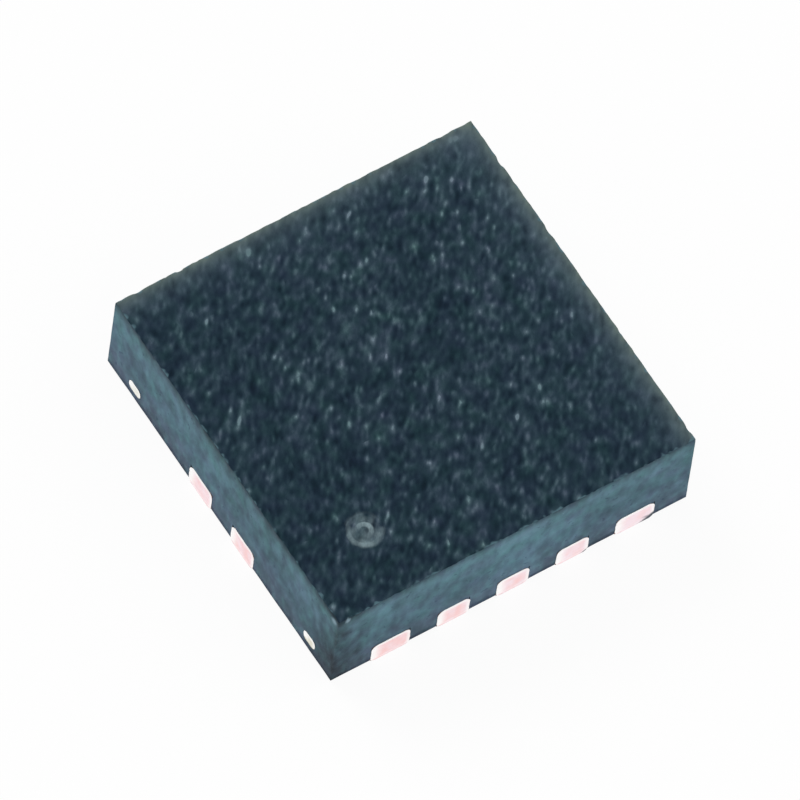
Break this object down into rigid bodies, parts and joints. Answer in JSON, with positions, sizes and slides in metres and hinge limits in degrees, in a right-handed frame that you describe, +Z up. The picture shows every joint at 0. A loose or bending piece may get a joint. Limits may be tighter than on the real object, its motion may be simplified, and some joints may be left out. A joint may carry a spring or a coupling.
{
  "type": "dc-dc converter chip",
  "caption": "Square no-lead power-converter chip: sawn moulded body over a copper lead frame with edge terminals, a die pad for soldering and a round index mark.",
  "frame": {"origin": "on the circuit board plane, under the middle of the moulded body", "axes": "+X along the terminal rows from terminal 1 to terminal 5, +Y from the front row to the rear row, +Z up from the board"},
  "size_m": [0.003, 0.003, 0.0009],
  "materials": {
    "mould_compound": "dark blue-grey filled epoxy, fine grained on top, sawn on the sides",
    "lead_frame_copper": "bare sawn copper at the sides, matt tin plate on the lands",
    "silver_epoxy": "dull silver-filled adhesive",
    "die_silicon": "polished silicon",
    "bond_wire_gold": "bright drawn gold"
  },
  "bodies": {
    "root": {"mould_body": "mould_compound", "terminal_1": "lead_frame_copper", "terminal_2": "lead_frame_copper", "terminal_3": "lead_frame_copper", "terminal_4": "lead_frame_copper", "terminal_5": "lead_frame_copper", "terminal_6": "lead_frame_copper", "terminal_7": "lead_frame_copper", "terminal_8": "lead_frame_copper", "terminal_9": "lead_frame_copper", "terminal_10": "lead_frame_copper", "die_pad": "lead_frame_copper", "die_attach": "silver_epoxy", "silicon_die": "die_silicon", "power_wire_1": "bond_wire_gold", "power_wire_2": "bond_wire_gold", "power_wire_3": "bond_wire_gold", "power_wire_4": "bond_wire_gold", "power_wire_5": "bond_wire_gold", "power_wire_6": "bond_wire_gold", "power_wire_7": "bond_wire_gold", "power_wire_8": "bond_wire_gold", "power_wire_9": "bond_wire_gold", "power_wire_10": "bond_wire_gold", "signal_wire_1": "bond_wire_gold", "signal_wire_2": "bond_wire_gold", "signal_wire_3": "bond_wire_gold", "signal_wire_4": "bond_wire_gold", "signal_wire_5": "bond_wire_gold"}
  },
  "joints": []
}
